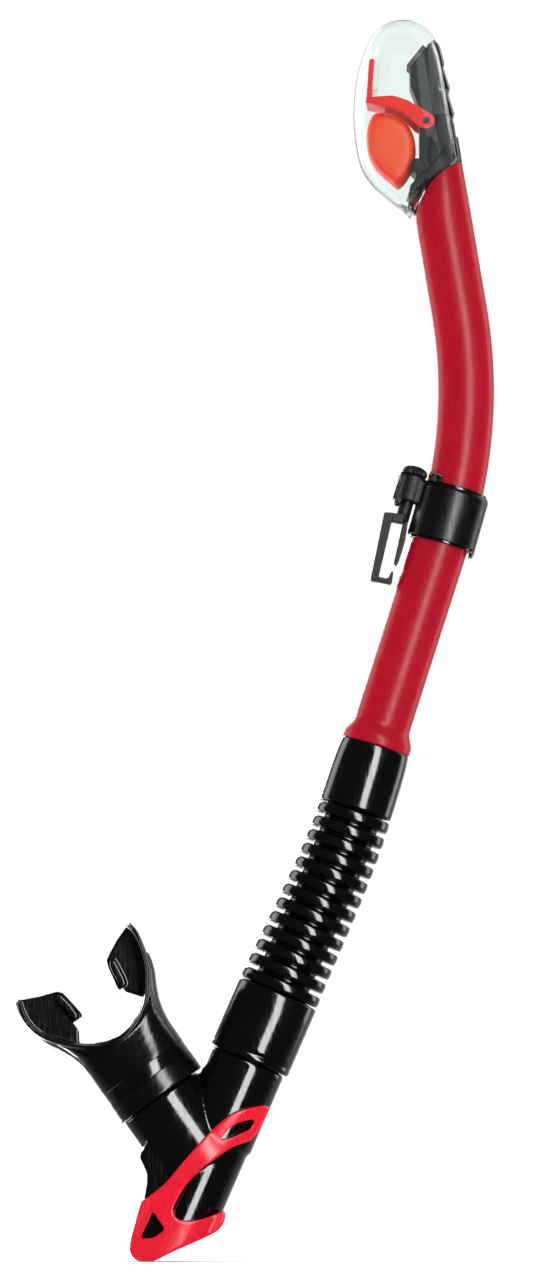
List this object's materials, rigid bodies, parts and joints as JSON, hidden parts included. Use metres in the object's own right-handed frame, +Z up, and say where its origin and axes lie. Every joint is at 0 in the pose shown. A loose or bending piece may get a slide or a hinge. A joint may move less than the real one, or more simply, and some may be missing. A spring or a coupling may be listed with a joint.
{
  "type": "snorkel",
  "caption": "Dry-top snorkel: curved tube, float-valve head, ribbed flexible hose, purge valve, swivelling mouthpiece and a mask-strap clip.",
  "frame": {"origin": "centre of the mask-strap slot in the keeper's clip", "axes": "+Z up along the snorkel, X from the mouthpiece side to the tube side, +Y towards the far side of the tube"},
  "size_m": [0.1783, 0.0368, 0.4662],
  "materials": {
    "tube_red": "glossy deep red",
    "cover_red": "glossy bright red",
    "silicone_black": "polished black silicone",
    "silicone_clear": "translucent silicone",
    "plastic_black": "glossy black",
    "rubber_black": "matte black",
    "clear_plastic": "clear, faintly green",
    "lever_red": "glossy red-orange",
    "float_orange": "satin orange",
    "steel": "stainless pin"
  },
  "bodies": {
    "tube": {"main_tube": "tube_red", "flex_hose": "silicone_black", "head_body": "plastic_black", "head_seal": "rubber_black", "pivot_pins": "steel", "clear_cap": "clear_plastic", "louvre_guard": "plastic_black", "seat_ring": "plastic_black"},
    "float": {"float_lever": "lever_red", "valve_pad": "silicone_clear", "float_body": "float_orange"},
    "liner": {"keeper_liner": "plastic_black"},
    "keeper": {"keeper_band": "plastic_black"},
    "clip": {"strap_clip": "plastic_black", "clip_pin": "steel", "clip_knob": "plastic_black"},
    "lower": {"lower_barrel": "plastic_black", "purge_seat": "plastic_black", "purge_grille": "plastic_black", "purge_cover": "cover_red", "branch_seal": "rubber_black"},
    "mouth": {"mouthpiece": "silicone_black", "branch_bush": "plastic_black", "mouthpiece_band": "plastic_black"},
    "flap": {"purge_flap": "silicone_clear"}
  },
  "joints": [
    {"name": "float_swing", "type": "hinge", "parent": "tube", "child": "float", "pos_m": [0.0129, 0, 0.1579], "axis": [0, 1, 0], "range_deg": [0, 35]},
    {"name": "keeper_slide", "type": "hinge", "parent": "tube", "child": "liner", "pos_m": [-0.1504, 0, 0.0573], "axis": [0, -1, 0], "range_deg": [0, 20]},
    {"name": "keeper_turn", "type": "hinge", "parent": "liner", "child": "keeper", "pos_m": [0.02109, 0, 0.00922], "axis": [0.2699, 0, 0.9629], "range_deg": [-60, 12]},
    {"name": "clip_swivel", "type": "hinge", "parent": "keeper", "child": "clip", "pos_m": [0.0053, 0, 0.01365], "axis": [0.2699, 0, 0.9629], "range_deg": [-20, 20]},
    {"name": "hose_flex", "type": "hinge", "parent": "tube", "child": "lower", "pos_m": [-0.0287, 0, -0.1353], "axis": [0, 1, 0], "range_deg": [-15, 45], "stiffness_Nm_per_rad": 0.3, "deforming": ["flex_hose"]},
    {"name": "mouthpiece_swivel", "type": "hinge", "parent": "lower", "child": "mouth", "pos_m": [-0.06975, 0, -0.23115], "axis": [-0.5757, 0, 0.8176], "continuous": true},
    {"name": "purge_lift", "type": "slide", "parent": "lower", "child": "flap", "axis": [0.4099, 0, -0.9121], "range_m": [0, 0.0015], "stiffness_N_per_m": 20}
  ]
}
